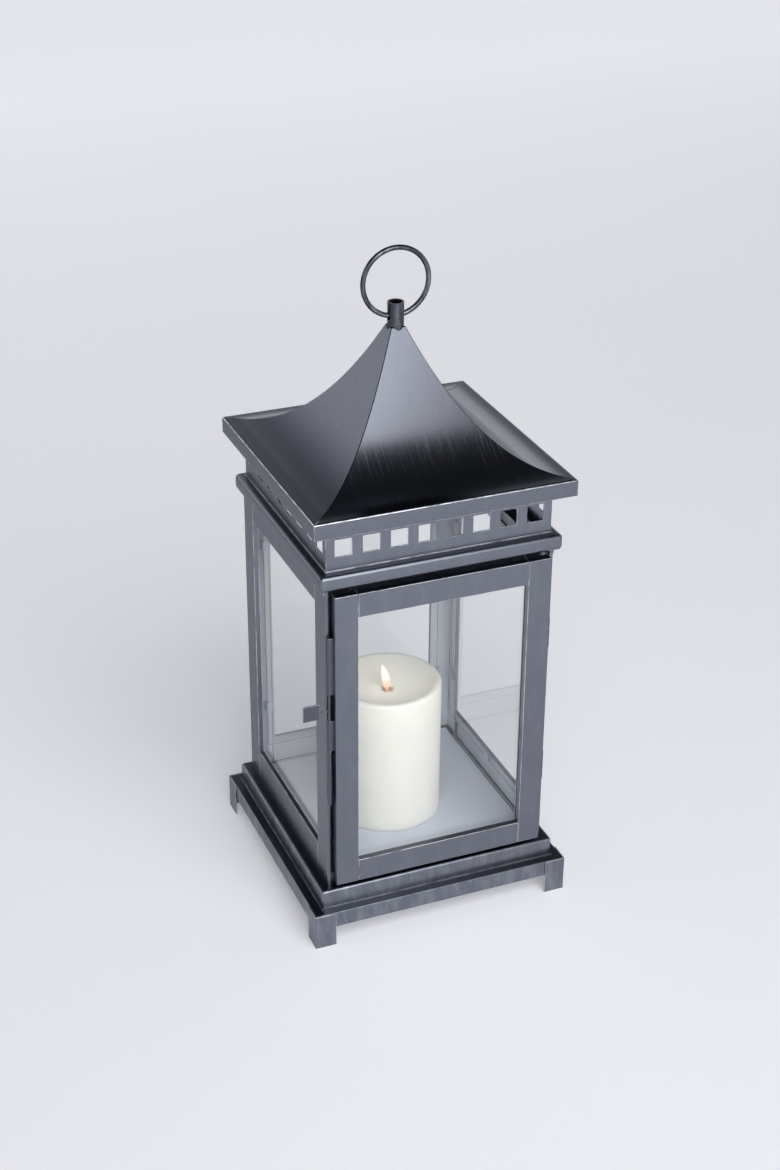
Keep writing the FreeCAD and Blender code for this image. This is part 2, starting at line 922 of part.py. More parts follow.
def flame_led():
    """A round lamp on the board beside the coil."""
    dome = led_diameter / 2
    can = at_candle(led_offset, 0, board_top, board_top + led_height - dome, led_diameter)
    centre = V(candle_x + led_offset, candle_y, board_top + led_height - dome)
    return join([can, Part.makeSphere(dome, centre)])


def flame_wire():
    """The wire that the flame hangs on, seated across the port."""
    start = V(candle_x, candle_y - port_radius, flame_pivot)
    return Part.makeCylinder(pivot_wire / 2, 2 * port_radius, start, Y_AXIS)


def flame_paddle():
    """A flat flame with a leaning tip and a stem that hangs on the wire."""
    base = dish_floor
    wide = base + flame_belly
    tip = V(-flame_lean, 0, base + flame_height)
    half_stem = flame_stem / 2
    half = flame_width / 2
    left = Part.BSplineCurve()
    left.interpolate([V(-half_stem, 0, base), V(-half, 0, wide), tip])
    right = Part.BSplineCurve()
    right.interpolate([V(half_stem, 0, base), V(half, 0, wide), tip])
    edges = [
        line(V(-half_stem, 0, magnet_top), V(half_stem, 0, magnet_top)),
        line(V(half_stem, 0, magnet_top), V(half_stem, 0, base)),
        line(V(-half_stem, 0, magnet_top), V(-half_stem, 0, base)),
        left.toShape(),
        right.toShape(),
    ]
    face = Part.Face(Part.Wire(Part.__sortEdges__(edges)))
    face.translate(V(0, -flame_thickness / 2, 0))
    paddle = face.extrude(V(0, flame_thickness, 0))
    start = V(0, -flame_thickness, flame_pivot)
    paddle = paddle.cut(
        Part.makeCylinder(pivot_wire / 2 + pivot_clearance, 2 * flame_thickness, start, Y_AXIS)
    )
    paddle.translate(V(candle_x, candle_y, 0))
    return paddle


def flame_magnet():
    """The magnet under the stem, which the coil pushes."""
    return at_candle(0, 0, magnet_bottom, magnet_top, magnet_diameter)


def save(name, solids):
    """Write one node, as one solid or as a group of separate solids."""
    group = solids if isinstance(solids, list) else [solids]
    shape = group[0] if len(group) == 1 else Part.makeCompound(group)
    shape.exportStep("parts/" + name + ".step")


def build_base():
    save("base_tray", base_tray())
    front_left = foot()
    for quarter, corner in enumerate(("front_left", "front_right", "back_right", "back_left")):
        save("foot_" + corner, turned(front_left, quarter))
    save("plinth_tray", plinth_tray())
    save("floor_plate", floor_plate())


def build_case():
    front, back = post_front(), post_back()
    save("post_front_left", front)
    save("post_front_right", mirrored(front))
    save("post_back_right", turned(back, 2))
    save("post_back_left", turned(back, 3))
    lower = wall_rail(plinth_top, plinth_top + bottom_rail)
    upper = wall_rail(wall_top - top_rail, wall_top)
    clips = []
    for wall, quarter in (("left", 0), ("right", 2), ("back", 3)):
        save("bottom_rail_" + wall, turned(lower, quarter))
        save("top_rail_" + wall, turned(upper, quarter))
        save("pane_" + wall, turned(wall_pane(), quarter))
        clips += [turned(c, quarter) for c in wall_clips()]
    save("pane_clips", clips)
    save("front_sill", front_rail(plinth_top, plinth_top + front_sill))
    save("front_header", front_rail(wall_top - front_header, wall_top))
    save("cornice", cornice())


def build_roof():
    across = vent_strip(vent_half, vent_half + hem)
    between = vent_strip(vent_half - sheet, vent_half)
    panel = roof_panel()
    for quarter, side in enumerate(("front", "right", "back", "left")):
        strip = across if quarter % 2 == 0 else between
        save("vent_strip_" + side, turned(strip, quarter))
        save("roof_panel_" + side, turned(panel, quarter))
    save("finial_tube", finial_tube())
    save("carry_ring", carry_ring())


def build_door():
    stile = door_stile_left()
    save("door_stile_left", stile)
    save("door_stile_right", mirrored(stile))
    save("door_rail_top", door_rail_top())
    save("door_rail_bottom", door_rail_bottom())
    save("door_pane", door_pane())
    save("door_pane_clips", door_clips())
    save("hinge_frame_knuckles", hinge_frame_knuckles())
    save("hinge_door_knuckles", hinge_door_knuckles())
    save("hinge_pins", hinge_pins())
    save("latch_guides", latch_guides())
    save("latch_keeper", latch_keeper())
    save("latch_bolt", latch_bolt())
    save("latch_flag", latch_flag())


def build_candle():
    save("candle_wax", candle_wax())
    save("candle_housing", candle_housing())
    save("battery_cover", battery_cover())
    save("power_switch", power_switch())
    save("battery_holder", battery_holder())
    save("batteries", batteries())
    save("circuit_board", circuit_board())
    save("drive_coil", drive_coil())
    save("flame_led", flame_led())
    save("flame_wire", flame_wire())
    save("flame_paddle", flame_paddle())
    save("flame_magnet", flame_magnet())


os.makedirs("parts", exist_ok=True)
build_base()
build_case()
build_roof()
build_door()
build_candle()
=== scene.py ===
import json
import math

import bmesh
import bpy
from bpy.props import FloatProperty, FloatVectorProperty, IntProperty, PointerProperty
from bpy.types import Operator, Panel, PropertyGroup
from mathutils import Matrix, Vector


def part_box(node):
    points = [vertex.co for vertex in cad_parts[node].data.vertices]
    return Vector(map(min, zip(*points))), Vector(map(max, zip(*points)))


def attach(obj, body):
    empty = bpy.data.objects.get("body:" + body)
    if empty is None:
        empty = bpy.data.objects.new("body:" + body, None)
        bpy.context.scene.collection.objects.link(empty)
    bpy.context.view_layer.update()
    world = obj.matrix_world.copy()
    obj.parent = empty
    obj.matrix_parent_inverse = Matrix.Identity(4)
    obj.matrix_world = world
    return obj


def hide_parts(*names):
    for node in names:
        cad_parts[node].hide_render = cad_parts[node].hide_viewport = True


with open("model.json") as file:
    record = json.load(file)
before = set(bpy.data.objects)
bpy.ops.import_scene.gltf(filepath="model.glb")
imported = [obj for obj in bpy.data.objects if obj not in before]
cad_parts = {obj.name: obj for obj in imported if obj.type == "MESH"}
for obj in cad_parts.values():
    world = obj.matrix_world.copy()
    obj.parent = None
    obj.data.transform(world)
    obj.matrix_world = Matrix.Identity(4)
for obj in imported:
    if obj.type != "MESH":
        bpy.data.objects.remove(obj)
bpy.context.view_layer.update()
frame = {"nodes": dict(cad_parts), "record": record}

bl_info = {
    "name": "Candle lantern",
    "version": (1, 0, 0),
    "blender": (4, 5, 0),
    "location": "View3D > Sidebar > Lantern",
    "description": "Dresses a candle lantern: brushed sheet metal, glass, wax and a studio stage",
    "category": "Object",
}

MM = 0.001
NODES = frame["nodes"]
RECORD = frame["record"]
BODY_OF = {node: body for body, nodes in RECORD["behaviour"]["bodies"].items() for node in nodes}
SIDES = ("front", "right", "back", "left")
QUARTER = math.pi / 2
MATH = "ShaderNodeMath"
XYZ = "ShaderNodeCombineXYZ"
NUMBER = "NodeSocketFloat"
COUNT = "NodeSocketInt"
COATING = "NodeSocketMaterial"
FACE, EDGE, PAINTED_LIGHT_LINING = range(3)
CLIP_EDGE = 0.15 * MM
SHARED = {}

# How bare the strokes are, the share of patches rubbed thin, the roughness, the shade of the
# blackening and how much rougher the strokes are than the metal between them.
GUNMETALS = {
    "rubbed_gunmetal": (0.3, 0.36, 0.28, 1.0, 0.34),
    "brushed_gunmetal": (0.16, 0.08, 0.28, 1.0, 0.34),
    "roof_gunmetal": (0.04, 0.02, 0.23, 0.9, 0.2),
    "mottled_gunmetal": (0.1, 0.4, 0.25, 0.4, 0.34),
    "dark_latch_steel": (0.05, 0.06, 0.3, 0.65, 0.34),
    "dark_ridge_seam": (0.0, 0.0, 0.4, 0.12, 0.34),
}


def linear(code):
    """An sRGB hex colour as linear red, green and blue, with an alpha of one."""
    parts = [int(code[i:i + 2], 16) / 255 for i in (1, 3, 5)]
    return tuple(c / 12.92 if c <= 0.04045 else ((c + 0.055) / 1.055) ** 2.4 for c in parts) + (1.0,)


def add(tree, kind, inputs=None, stops=(), **settings):
    """Add a node with its settings, its inputs by name or in order, and a ramp's colour stops.

    An input is a value, a socket, a node whose first live output is meant, or a list of these.
    """
    node = tree.nodes.new(kind)
    for name, value in settings.items():
        setattr(node, name, value)
    for name, value in inputs.items() if isinstance(inputs, dict) else enumerate(inputs or ()):
        for source in value if isinstance(value, list) else [value]:
            if isinstance(source, bpy.types.Node):
                source = next(socket for socket in source.outputs if socket.enabled)
            if isinstance(source, bpy.types.NodeSocket):
                tree.links.new(source, node.inputs[name])
            else:
                node.inputs[name].default_value = source
    for i, (place, colour) in enumerate(stops):
        elements = node.color_ramp.elements
        stop = elements[i] if i < len(elements) else elements.new(place)
        stop.position = place
        stop.color = linear(colour) if isinstance(colour, str) else colour
    return node


def rgba(colour):
    """A linear colour made opaque."""
    return (colour[0], colour[1], colour[2], 1.0)


class LanternMetal(PropertyGroup):
    """Finish of the sheet metal"""
    dark: FloatVectorProperty(name="Dark metal", description="Blackened steel between the brush strokes",
                              subtype="COLOR", size=3, default=linear("#848893")[:3])
    silver: FloatVectorProperty(name="Brushed silver", description="Steel laid bare by the brush",
                                subtype="COLOR", size=3, default=linear("#c3c8d2")[:3])
    worn: FloatVectorProperty(name="Worn edge", description="Bare steel along rubbed edges",
                              subtype="COLOR", size=3, default=linear("#e6e9ee")[:3])
    plate: FloatVectorProperty(name="Floor plate", description="Satin grey of the plate under the candle",
                               subtype="COLOR", size=3, default=linear("#d0d6e2")[:3])
    # Painted light: the inner faces of rails and posts take a pale satin grey that stands in for the brighter
    # light inside the case.
    lit_inner_rail: FloatVectorProperty(name="Inside of the rails", description="Satin grey of their inner faces",
                                    subtype="COLOR", size=3, default=linear("#cbd2de")[:3])
    lit_inner_post: FloatVectorProperty(name="Inside of the posts", description="Satin grey of their inner faces",
                                    subtype="COLOR", size=3, default=linear("#e2e6ee")[:3])
    streak_width: FloatProperty(name="Streak width", description="Width of one brush stroke",
                                subtype="DISTANCE", unit="LENGTH", default=0.6 * MM)
    streak_length: FloatProperty(name="Streak length", description="Length of one brush stroke",
                                 subtype="DISTANCE", unit="LENGTH", default=30 * MM)
    patch_width: FloatProperty(name="Patch width", description="Width of the areas rubbed more or less",
                               subtype="DISTANCE", unit="LENGTH", default=11 * MM)
    patch_length: FloatProperty(name="Patch length", description="Length of the areas rubbed more or less",
                                subtype="DISTANCE", unit="LENGTH", default=34 * MM)
    edge_width: FloatProperty(name="Edge width", description="Width of the rounding along sheet edges",
                              subtype="DISTANCE", unit="LENGTH", default=0.38 * MM)


class LanternRoof(PropertyGroup):
    """Shape of the roof panels, which follows a power of the distance from the eave"""
    fascia: FloatProperty(name="Fascia", description="Height of the fold at the eave",
                          subtype="DISTANCE", unit="LENGTH", default=12.6 * MM)
    fold: FloatProperty(name="Fold radius", description="Outer radius of the eave's fold",
                        subtype="DISTANCE", unit="LENGTH", default=1.5 * MM)
    sheet: FloatProperty(name="Sheet", description="Thickness of the sheet metal",
                         subtype="DISTANCE", unit="LENGTH", default=1.0 * MM)
    apex: FloatProperty(name="Apex half width", description="Half width of the roof's top",
                        subtype="DISTANCE", unit="LENGTH", default=5.5 * MM)
    mouth: FloatProperty(name="Mouth radius", description="Round hole in the top that the finial stands in",
                         subtype="DISTANCE", unit="LENGTH", default=6.3 * MM)
    power: FloatProperty(name="Sweep", description="Power by which the roof steepens towards the apex",
                         default=2.2)


class LanternVent(PropertyGroup):
    """Perforations of the vent band"""
    holes: IntProperty(name="Holes", description="Square holes in each strip", default=8)
    hole: FloatProperty(name="Hole", description="Side of one square hole",
                        subtype="DISTANCE", unit="LENGTH", default=13.0 * MM)
    margin: FloatProperty(name="Margin", description="From the strip's corner to the first hole",
                          subtype="DISTANCE", unit="LENGTH", default=6.7 * MM)
    sill: FloatProperty(name="Sill", description="Height of the holes above the cornice",
                        subtype="DISTANCE", unit="LENGTH", default=11.1 * MM)
    hem: FloatProperty(name="Hem", description="Out-turned hem along the strip's foot",
                       subtype="DISTANCE", unit="LENGTH", default=0.8 * MM)


class LanternCandle(PropertyGroup):
    """Wax and flame of the battery candle"""
    wax: FloatVectorProperty(name="Wax", description="Ivory paraffin", subtype="COLOR", size=3,
                             default=linear("#f3f1e7")[:3])
    dish_depth: FloatProperty(name="Dish depth", description="Depth of the hollow in the candle's top",
                              subtype="DISTANCE", unit="LENGTH", default=9.0 * MM)
    warm_spots: FloatVectorProperty(name="Warm spots", description="Warm marks round the flame's well",
                                subtype="COLOR", size=3, default=linear("#c98e57")[:3])
    flame_low: FloatVectorProperty(name="Flame root", description="Where the lamp lights the paddle",
                                   subtype="COLOR", size=3, default=linear("#f2bf97")[:3])
    flame_high: FloatVectorProperty(name="Flame tip", description="Pale end of the paddle",
                                    subtype="COLOR", size=3, default=linear("#fdf0e8")[:3])
    flame_height: FloatProperty(name="Flame height", description="From the dish to the flame's tip",
                                subtype="DISTANCE", unit="LENGTH", default=23.0 * MM)
    flame_belly: FloatProperty(name="Flame belly", description="Height of its widest place above the dish",
                               subtype="DISTANCE", unit="LENGTH", default=8.0 * MM)
    flame_width: FloatProperty(name="Flame width", description="Width of the flame at its belly",
                               subtype="DISTANCE", unit="LENGTH", default=7.4 * MM)
    flame_crown: FloatProperty(name="Flame crown", description="Thickness of the flame at its belly",
                               subtype="DISTANCE", unit="LENGTH", default=3.2 * MM)
    flame_lean: FloatProperty(name="Flame lean", description="How far the tip leans to the left",
                              subtype="DISTANCE", unit="LENGTH", default=4.6 * MM)
    flame_stem: FloatProperty(name="Flame stem", description="Width of the stem under the flame",
                              subtype="DISTANCE", unit="LENGTH", default=3.0 * MM)


class LanternStage(PropertyGroup):
    """Floor, light and camera"""
    floor: FloatVectorProperty(name="Floor", description="Pale paper floor", subtype="COLOR", size=3,
                               default=linear("#e9eaef")[:3])
    lens: FloatProperty(name="Lens", description="Focal length on a 36 mm tall frame",
                        unit="CAMERA", default=61.32)
    azimuth: FloatProperty(name="Azimuth", description="Camera's bearing from the door",
                           subtype="ANGLE", default=math.radians(-22.436))
    elevation: FloatProperty(name="Elevation", description="Camera's height above the horizon",
                             subtype="ANGLE", default=math.radians(28.094))
    roll: FloatProperty(name="Roll", description="Camera's turn about its own axis",
                        subtype="ANGLE", default=math.radians(0.409))
    place: FloatVectorProperty(name="Camera place", description="Where the camera stands",
                               subtype="TRANSLATION", size=3, default=(-0.5117, -1.2324, 0.9524))


def new_material(name):
    """An empty node material and its tree."""
    material = bpy.data.materials.new(name)
    material.use_nodes = True
    material.node_tree.nodes.clear()
    return material, material.node_tree


def surface(tree, inputs):
    """Close a material with its Principled shader."""
    shader = add(tree, "ShaderNodeBsdfPrincipled", inputs)
    add(tree, "ShaderNodeOutputMaterial", {"Surface": shader})


def gunmetal(name):
    """Blackened sheet steel, brushed by hand: dark satin metal with fine bright strokes.

    The strokes run up and down each face, so a face's own sideways coordinate is picked by
    its normal. Real strokes are about 0.2 mm wide; they are drawn wider so that they show.
    Level ledges get no strokes, and their colour is darkened as painted shade for the dark reflections that
    level faces show.
    """
    ledge_shade_share = 0.45
    streaks, mottle, roughness, shade, scratch = GUNMETALS[name]
    finish = bpy.context.scene.lantern_metal
    material, tree = new_material(name)
    coord = add(tree, "ShaderNodeTexCoord")
    place = add(tree, "ShaderNodeSeparateXYZ", {"Vector": coord.outputs["Object"]})
    normal = add(tree, "ShaderNodeSeparateXYZ", {"Vector": coord.outputs["Normal"]})
    across_x = add(tree, MATH, [normal.outputs["X"]], operation="ABSOLUTE")
    across_y = add(tree, MATH, [normal.outputs["Y"]], operation="ABSOLUTE")
    side = add(tree, MATH, [across_x, across_y], operation="GREATER_THAN")
    sideways = add(tree, "ShaderNodeMix", {"Factor": side, "A": place.outputs["X"], "B": place.outputs["Y"]})
    width = add(tree, MATH, [sideways, 1 / finish.streak_width], operation="MULTIPLY")
    length = add(tree, MATH, [place.outputs["Z"], 1 / finish.streak_length], operation="MULTIPLY")
    stroke_at = add(tree, XYZ, [width, length, side])
    strokes = add(tree, "ShaderNodeTexNoise", {"Vector": stroke_at, "Scale": 1.0, "Detail": 3.0,
                                               "Roughness": 0.6})
    spread = finish.streak_width / finish.patch_width
    reach = finish.streak_length / finish.patch_length
    patch_at = add(tree, "ShaderNodeVectorMath", [stroke_at, (spread, reach, 1.0)], operation="MULTIPLY")
    patches = add(tree, "ShaderNodeTexNoise", {"Vector": patch_at, "Scale": 1.0, "Detail": 4.0,
                                               "Roughness": 0.62})
    upright = add(tree, "ShaderNodeMapRange", {"Value": normal.outputs["Z"], "From Min": 0.985,
                                               "From Max": 0.999, "To Min": 1.0, "To Max": 0.0})
    fine = add(tree, "ShaderNodeMapRange", {"Value": strokes, "From Min": 0.56, "From Max": 0.76,
                                            "To Max": upright})
    most = add(tree, MATH, [upright, mottle], operation="MULTIPLY")
    worn = add(tree, "ShaderNodeMapRange", {"Value": patches, "From Min": 0.45, "From Max": 0.68,
                                            "To Max": most})
    rubbed = add(tree, MATH, [fine, streaks, worn], operation="MULTIPLY_ADD", use_clamp=True)
    thin = rgba([c * shade for c in finish.dark])
    # Painted shade: level ledges take a darker colour for the dark reflections they show.
    thick = rgba([c * shade * ledge_shade_share for c in finish.dark])
    blackened_with_ledge_shade = add(tree, "ShaderNodeMix", {"Factor": upright, "A": thick, "B": thin}, data_type="RGBA")
    colour = add(tree, "ShaderNodeMix", {"Factor": rubbed, "A": blackened_with_ledge_shade, "B": rgba(finish.silver)},
                 data_type="RGBA")
    rough = add(tree, MATH, [fine, scratch, roughness], operation="MULTIPLY_ADD")
    bump = add(tree, "ShaderNodeBump", {"Height": strokes, "Strength": 0.025, "Distance": 0.1 * MM})
    surface(tree, {"Base Color": colour, "Roughness": rough, "Normal": bump, "Metallic": 1.0})
    return material


def worn_edge():
    """Bare steel where the finish has rubbed through along an edge: a bright broken line."""
    finish = bpy.context.scene.lantern_metal
    material, tree = new_material("worn_steel_edge")
    coord = add(tree, "ShaderNodeTexCoord")
    wear = add(tree, "ShaderNodeTexNoise", {"Vector": coord.outputs["Object"], "Scale": 1 / (9 * MM),
                                            "Detail": 3.0})
    colour = add(tree, "ShaderNodeValToRGB", {"Fac": wear},
                 stops=((0.3, rgba(finish.dark)), (0.55, rgba(finish.worn))))
    surface(tree, {"Base Color": colour, "Metallic": 1.0, "Roughness": 0.32})
    return material


def satin_grey(name, colour):
    """Satin grey inside the case: soft, with faint cloudy wear. It is the floor plate's own paint, and on the
    inner faces of rails, posts and pane clips it is painted light.
    """
    material, tree = new_material(name)
    coord = add(tree, "ShaderNodeTexCoord")
    cloud = add(tree, "ShaderNodeTexNoise", {"Vector": coord.outputs["Object"], "Scale": 1 / (45 * MM),
                                             "Detail": 5.0})
    shade = add(tree, "ShaderNodeMapRange", {"Value": cloud, "To Min": 0.9, "To Max": 1.06})
    tone = add(tree, "ShaderNodeMix", {"Factor": 1.0, "A": rgba(colour), "B": shade},
               data_type="RGBA", blend_type="MULTIPLY")
    rough = add(tree, "ShaderNodeMapRange", {"Value": cloud, "To Min": 0.4, "To Max": 0.55})
    surface(tree, {"Base Color": tone, "Roughness": rough, "Metallic": 0.2})
    return material


def clear_glass():
    """Clear float glass: smooth, colourless, faintly uneven."""
    material, tree = new_material("clear_float_glass")
    coord = add(tree, "ShaderNodeTexCoord")
    draw = add(tree, "ShaderNodeTexNoise", {"Vector": coord.outputs["Object"], "Scale": 1 / (70 * MM)})
    bump = add(tree, "ShaderNodeBump", {"Height": draw, "Strength": 0.05, "Distance": 1 * MM})
    surface(tree, {"Base Color": linear("#fdfefe"), "Roughness": 0.0, "IOR": 1.5, "Transmission Weight": 1.0,
                   "Normal": bump})
    return material


def paraffin_wax(centre, dish):
    """Ivory paraffin wax, cast: light sinks in and spreads, and a faint painted glow near the flame stands in
    for the flame's light on the wax.

    Warm marks lie round the flame's well.
    """
    candle = bpy.context.scene.lantern_candle
    material, tree = new_material("ivory_paraffin_wax")
    coord = add(tree, "ShaderNodeTexCoord")
    bloom = add(tree, "ShaderNodeTexNoise", {"Vector": coord.outputs["Object"], "Scale": 1 / (18 * MM),
                                             "Detail": 4.0})
    shade = add(tree, "ShaderNodeMapRange", {"Value": bloom, "To Min": 0.95, "To Max": 1.02})
    pale = add(tree, "ShaderNodeMix", {"Factor": 1.0, "A": rgba(candle.wax), "B": shade},
               data_type="RGBA", blend_type="MULTIPLY")
    off = add(tree, "ShaderNodeVectorMath", [coord.outputs["Object"], (centre.x, centre.y, dish)],
              operation="SUBTRACT")
    far = add(tree, "ShaderNodeVectorMath", [off], operation="LENGTH")
    ring = add(tree, "ShaderNodeMapRange", {"Value": far.outputs["Value"], "From Min": 5.0 * MM,
                                            "From Max": 7.0 * MM, "To Min": 1.0, "To Max": 0.0})
    blot = add(tree, "ShaderNodeTexNoise", {"Vector": coord.outputs["Object"], "Scale": 1 / (2.2 * MM)})
    spots = add(tree, "ShaderNodeMapRange", {"Value": blot, "From Min": 0.46, "From Max": 0.6})
    # Warm spots in a ring round the flame's well.
    warm_spot_mask = add(tree, MATH, [ring, spots], operation="MULTIPLY")
    tone = add(tree, "ShaderNodeMix", {"Factor": warm_spot_mask, "A": pale, "B": rgba(candle.warm_spots)},
               data_type="RGBA")
    # Painted light: the wax glows a little near the flame, standing in for the flame's light.
    glow = add(tree, "ShaderNodeMapRange", {"Value": far.outputs["Value"], "From Min": 8 * MM,
                                            "From Max": 46 * MM, "To Min": 0.28, "To Max": 0.0})
    grain = add(tree, "ShaderNodeTexNoise", {"Vector": coord.outputs["Object"], "Scale": 1 / (2.5 * MM),
                                             "Detail": 3.0})
    bump = add(tree, "ShaderNodeBump", {"Height": grain, "Strength": 0.05, "Distance": 0.3 * MM})
    surface(tree, {"Base Color": tone, "Emission Color": tone, "Emission Strength": glow, "Normal": bump,
                   "Roughness": 0.48, "IOR": 1.44, "Subsurface Weight": 0.7,
                   "Subsurface Radius": (1.0, 0.95, 0.8), "Subsurface Scale": 9 * MM})
    return material


def flame_plastic(low, high):
    """Translucent moulded plastic with the lamp's light painted in: it glows, warm at its root and paler
    towards the tip.
    """
    candle = bpy.context.scene.lantern_candle
    haze_depth, root, pale_share = 5 * MM, 2 * MM, 0.6
    material, tree = new_material("lit_flame_plastic")
    coord = add(tree, "ShaderNodeTexCoord")
    place = add(tree, "ShaderNodeSeparateXYZ", {"Vector": coord.outputs["Object"]})
    haze = add(tree, "ShaderNodeTexNoise", {"Vector": coord.outputs["Object"], "Scale": 1 / (6 * MM)})
    drift = add(tree, MATH, [haze, haze_depth, place.outputs["Z"]], operation="MULTIPLY_ADD")
    rise = add(tree, "ShaderNodeMapRange", {"Value": drift, "From Min": low + root,
                                            "From Max": low + pale_share * (high - low)})
    colour = add(tree, "ShaderNodeMix", {"Factor": rise, "A": rgba(candle.flame_low),
                                         "B": rgba(candle.flame_high)}, data_type="RGBA")
    # The glow is painted lamp light.
    surface(tree, {"Base Color": colour, "Emission Color": colour, "Emission Strength": 0.25,
                   "Roughness": 0.4})
    return material


def moulded_plastic(name, colour, roughness=0.5):
    """Moulded plastic: one colour, with the fine grain that a mould leaves."""
    hollow_shade = 0.9
    material, tree = new_material(name)
    coord = add(tree, "ShaderNodeTexCoord")
    grain = add(tree, "ShaderNodeTexNoise", {"Vector": coord.outputs["Object"], "Scale": 1 / (0.8 * MM),
                                             "Detail": 2.0})
    # The grain's hollows are painted a shade darker than its crests.
    tone = add(tree, "ShaderNodeValToRGB", {"Fac": grain},
               stops=((0.3, rgba([c * hollow_shade for c in linear(colour)])), (0.7, linear(colour))))
    bump = add(tree, "ShaderNodeBump", {"Height": grain, "Strength": 0.1, "Distance": 0.05 * MM})
    surface(tree, {"Base Color": tone, "Normal": bump, "Roughness": roughness})
    return material


def shared(maker, *values):
    """A material that several groups of pieces share, made once."""
    key = (maker, *values)
    if key not in SHARED:
        SHARED[key] = maker(*values)
    return SHARED[key]


def merged_copy(node):
    """A copy of a node's mesh with its loose triangles joined and its flat faces made whole."""
    source = NODES[node].data
    mesh = bpy.data.meshes.new(node + "_finished")
    mesh.from_pydata([v.co[:] for v in source.vertices], [], [p.vertices[:] for p in source.polygons])
    sheet = bmesh.new()
    sheet.from_mesh(mesh)
    bmesh.ops.remove_doubles(sheet, verts=sheet.verts, dist=1e-6)
    bmesh.ops.dissolve_limit(sheet, angle_limit=math.radians(0.4), verts=sheet.verts, edges=sheet.edges)
    sheet.to_mesh(mesh)
    sheet.free()
    return mesh


def placed(mesh):
    """An object at the origin for a mesh that holds its own place."""
    piece = bpy.data.objects.new(mesh.name, mesh)
    bpy.context.scene.collection.objects.link(piece)
    return piece


def applied(piece):
    """Turn the piece's modifiers into plain mesh."""
    depsgraph = bpy.context.evaluated_depsgraph_get()
    mesh = bpy.data.meshes.new_from_object(piece.evaluated_get(depsgraph))
    mesh.name = piece.name
    piece.modifiers.clear()
    old = piece.data
    piece.data = mesh
    bpy.data.meshes.remove(old)
    return piece


def softened(piece, width, face, edge, clamp=True):
    """Round the piece's edges, and give the rounding its own material."""
    piece.data.materials.clear()
    piece.data.materials.append(face)
    piece.data.materials.append(edge)
    piece.data.shade_smooth()
    bevel = piece.modifiers.new("Edges", "BEVEL")
    bevel.limit_method = "ANGLE"
    bevel.angle_limit = math.radians(32)
    bevel.width = width
    bevel.segments = 2
    bevel.use_clamp_overlap = clamp
    bevel.harden_normals = True
    bevel.material = EDGE
    return applied(piece)


def hold(piece, node):
    """The piece stands for the node and moves with its body."""
    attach(piece, BODY_OF[node])
    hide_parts(node)
    return piece


def finish_sheet(node, face, width=None, painted_light_lining=None):
    """Replace a sheet metal node with a softened copy of itself.

    A lining, a pale colour painted as the brighter light inside the case, goes on the upright faces that look
    into the case between the panes.
    """
    edge_width = width or bpy.context.scene.lantern_metal.edge_width
    piece = softened(placed(merged_copy(node)), edge_width, face, shared(worn_edge))
    if painted_light_lining:
        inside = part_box("pane_right")[1].x
        piece.data.materials.append(painted_light_lining)
        for polygon in piece.data.polygons:
            centre, aim = polygon.center, polygon.normal
            upright = abs(aim.z) < 0.5
            beside = abs(centre.y if abs(aim.x) > abs(aim.y) else centre.x)
            if upright and centre.xy.dot(aim.xy) < 0 and beside < inside:
                polygon.material_index = PAINTED_LIGHT_LINING
    hold(piece, node)


def smooth_copy(node, material, angle=40):
    """Replace a turned or moulded node with a smooth shaded copy of itself."""
    mesh = merged_copy(node)
    mesh.shade_smooth()
    mesh.set_sharp_from_angle(angle=math.radians(angle))
    mesh.materials.append(material)
    hold(placed(mesh), node)


def tree_with(name, inputs):
    """A geometry node tree with named inputs, and its group input node."""
    tree = bpy.data.node_groups.new(name, "GeometryNodeTree")
    for label, kind in inputs:
        tree.interface.new_socket(label, in_out="INPUT", socket_type=kind)
    tree.interface.new_socket("Geometry", in_out="OUTPUT", socket_type="NodeSocketGeometry")
    return tree, add(tree, "NodeGroupInput")


def grown(node, tree, values, material):
    """Grow a node's piece from a tree: its inputs set by socket, its result made a plain mesh."""
    piece = placed(bpy.data.meshes.new(node + "_finished"))
    modifier = piece.modifiers.new("Grow", "NODES")
    modifier.node_group = tree
    for socket in tree.interface.items_tree:
        if socket.in_out == "INPUT":
            modifier[socket.identifier] = material if socket.name == "Material" else values[socket.name]
    return applied(piece)


def end_of_piece(tree, geometry, size):
    """Turn a finished form about the lantern's axis to its side, and close its tree."""
    turn = add(tree, XYZ, {"Z": size["Turn"]})
    turned = add(tree, "GeometryNodeTransform", {"Geometry": geometry, "Rotation": turn})
    real = add(tree, "GeometryNodeRealizeInstances", {"Geometry": turned})
    coated = add(tree, "GeometryNodeSetMaterial", {"Geometry": real, "Material": size["Material"]})
    add(tree, "NodeGroupOutput", {"Geometry": coated})


